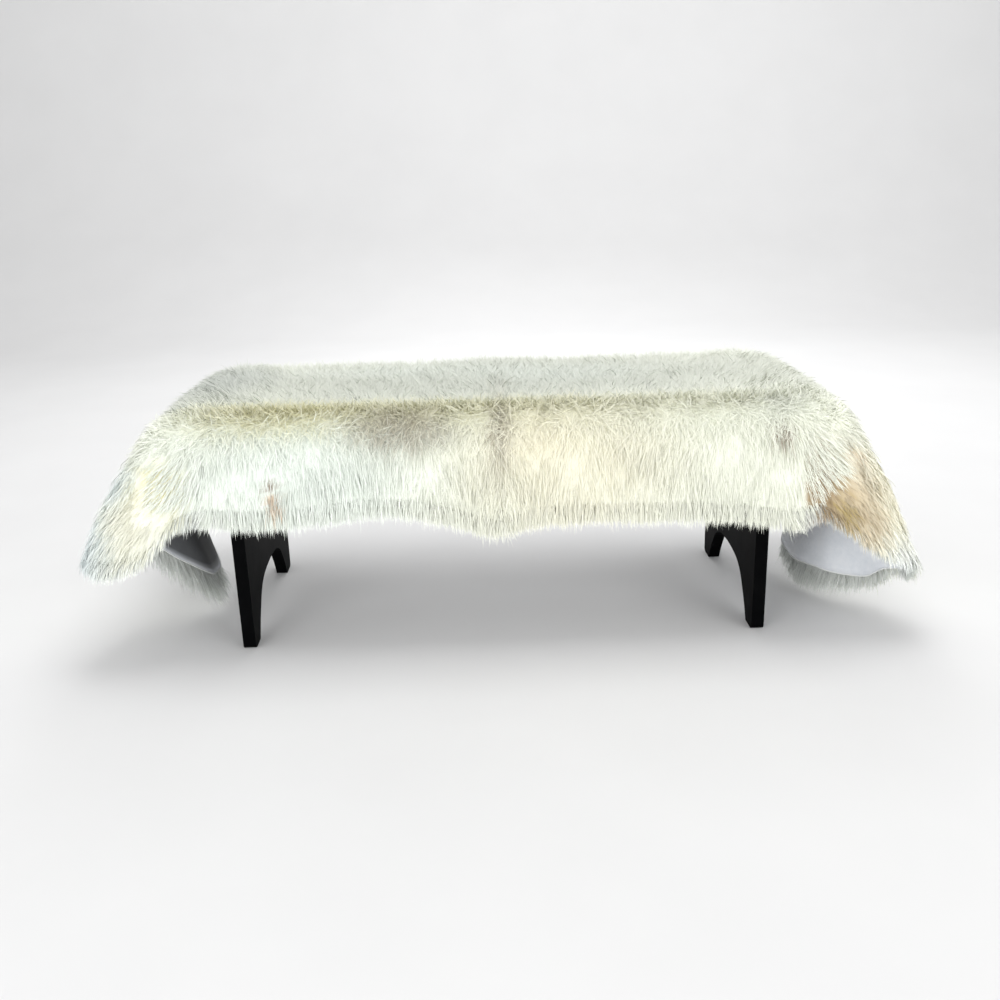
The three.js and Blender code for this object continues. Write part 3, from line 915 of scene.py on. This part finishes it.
def make_seam(pelt, material):
    """Slanting stitches that hold the pelts together, seen from below where they overhang."""
    bm = bmesh.new()
    for edge_column in (0, -1):
        line = pelt.points[edge_column, pelt.seat_rows :]
        normals = pelt.normal[edge_column, pelt.seat_rows :]
        downs = pelt.down[edge_column, pelt.seat_rows :]
        lengths = np.concatenate([[0], np.cumsum(np.linalg.norm(np.diff(line, axis=0), axis=1))])
        for at in np.arange(STITCH_STEP, lengths[-1] - 0.004, STITCH_STEP):
            made = bmesh.ops.create_cone(
                bm,
                cap_ends=True,
                segments=6,
                radius1=THREAD_RADIUS,
                radius2=THREAD_RADIUS,
                depth=STITCH_LENGTH,
            )
            lean = (Vector((1, 0, 0)) + along(at, lengths, downs) * 0.55).normalized()
            turn = lean.to_track_quat("Z", "Y").to_matrix().to_4x4()
            spot = along(at, lengths, line) - along(at, lengths, normals) * 0.0006
            place = Matrix.Translation(spot + Vector(BENCH)) @ turn
            bmesh.ops.transform(bm, matrix=place, verts=made["verts"])
    return mesh_object("seam_stitches", bm, material)


random = np.random.default_rng(7)
painted = black_paint()
for node in ("bench_top", "bench_end_left", "bench_end_right"):
    piece = NODES[node]
    piece.data.materials.clear()
    piece.data.materials.append(painted)

hide_material = suede()
wool_body_material = under_wool()
wool_material = long_wool()
edge_material = cut_leather()
strands = HAIRS
rims = RIM_HAIRS
fine_pelts = {}
for side, sign, folds, cut_size, cut_area in (
    ("left", -1, LEFT_FOLDS, (0.86, 0.98), 0.55),
    ("right", 1, RIGHT_FOLDS, (0.86, 1.00), 0.58),
):
    fine = Pelt(folds, sign, spread(60, 48, 60, 40, 60), 30, 14, 40)
    fine_pelts[side] = fine
    rough = Pelt(folds, sign, spread(26, 18, 26, 14, 26), 12, 6, 18)
    hide = make_hide(f"leather_{side}", rough, hide_material)
    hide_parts(f"hide_{side}")
    body = make_wool_body(f"wool_body_{side}", rough, wool_body_material, random)
    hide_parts(f"fleece_{side}")
    wool = make_wool(side, fine, wool_material, strands, rims, random)
    edge = make_cut_edge(f"cut_edge_{side}", fine, edge_material)
make_seam(fine_pelts["right"], seam_thread())


# A pale studio floor that bends up far behind, soft lights and the photograph's camera.
FLOOR_HALF_WIDTH, FLOOR_HALF_LENGTH = 9.0, 6.0
FLOOR_FRONT, FLOOR_FLAT, FLOOR_BEND = -4.0, 7.0, 2.0


def make_floor():
    bm = bmesh.new()
    bmesh.ops.create_grid(bm, x_segments=2, y_segments=60, size=1)
    for vertex in bm.verts:
        run = (vertex.co.y + 1) * FLOOR_HALF_LENGTH
        vertex.co.x *= FLOOR_HALF_WIDTH
        flat = min(run, FLOOR_FLAT)
        up = max(run - FLOOR_FLAT, 0)
        angle = min(up / FLOOR_BEND, math.pi / 2)
        rest = max(up - FLOOR_BEND * math.pi / 2, 0)
        vertex.co.y = FLOOR_FRONT + flat + FLOOR_BEND * math.sin(angle)
        vertex.co.z = FLOOR_BEND * (1 - math.cos(angle)) + rest
    mesh = bpy.data.meshes.new("floor")
    bm.to_mesh(mesh)
    bm.free()
    floor = bpy.data.objects.new("floor", mesh)
    bpy.context.scene.collection.objects.link(floor)
    mesh.materials.append(studio_floor())
    for face in mesh.polygons:
        face.use_smooth = True


def add_light(name, place, aim, power, size):
    light = bpy.data.lights.new(name, "AREA")
    light.energy = power
    light.size = size
    lamp = bpy.data.objects.new(name, light)
    lamp.location = Vector(place)
    lamp.rotation_euler = (Vector(aim) - Vector(place)).to_track_quat("-Z", "Y").to_euler()
    bpy.context.scene.collection.objects.link(lamp)


make_floor()
LIGHTS = [
    # name, place, aim, power, size
    ("overhead", (0.1, 0.0, 3.2), (0, 0, 0.2), 31, 1.8),
    ("front left", (-2.2, -3.4, 1.0), (0, 0, 0.3), 62, 2.2),
    ("front right", (2.5, -3.1, 1.0), (0, 0, 0.3), 58, 2.2),
    ("left side", (-3.2, -0.9, 1.0), (-0.6, 0, 0.15), 15, 1.8),
    ("right side", (3.2, -1.0, 1.0), (0.6, 0, 0.15), 15, 1.8),
    ("behind", (0.2, 2.7, 2.2), (0, 0.0, 0.1), 26, 2.0),
    ("backdrop", (1.0, 1.4, 3.2), (0.8, 5.0, 1.0), 44, 3.0),
]
for name, place, aim, power, size in LIGHTS:
    add_light(name, place, aim, power, size)
world = bpy.data.worlds.new("studio")
world.use_nodes = True
world.node_tree.nodes["Background"].inputs["Color"].default_value = (1, 1, 1, 1)
world.node_tree.nodes["Background"].inputs["Strength"].default_value = 0.60
bpy.context.scene.world = world
bpy.context.scene.view_settings.view_transform = "Standard"

CAMERA = {
    "place": (-0.044, -2.064, 0.911),
    "down": 18.73,
    "turn": 1.30,
    "roll": -1.66,
    "lens": 38.32,
}
lens = bpy.data.cameras.new("camera")
lens.lens = CAMERA["lens"]
lens.sensor_width = 36
camera = bpy.data.objects.new("camera", lens)
down, turn, roll = (math.radians(CAMERA[key]) for key in ("down", "turn", "roll"))
forward = Vector(
    (math.sin(turn) * math.cos(down), math.cos(turn) * math.cos(down), -math.sin(down))
)
level_right = Vector((math.cos(turn), -math.sin(turn), 0))
level_up = level_right.cross(forward)
right = math.cos(roll) * level_right + math.sin(roll) * level_up
up = -math.sin(roll) * level_right + math.cos(roll) * level_up
turned = Matrix((right, up, -forward)).transposed().to_4x4()
camera.matrix_world = Matrix.Translation(Vector(CAMERA["place"]) + Vector(BENCH)) @ turned
bpy.context.scene.collection.objects.link(camera)
bpy.context.scene.camera = camera
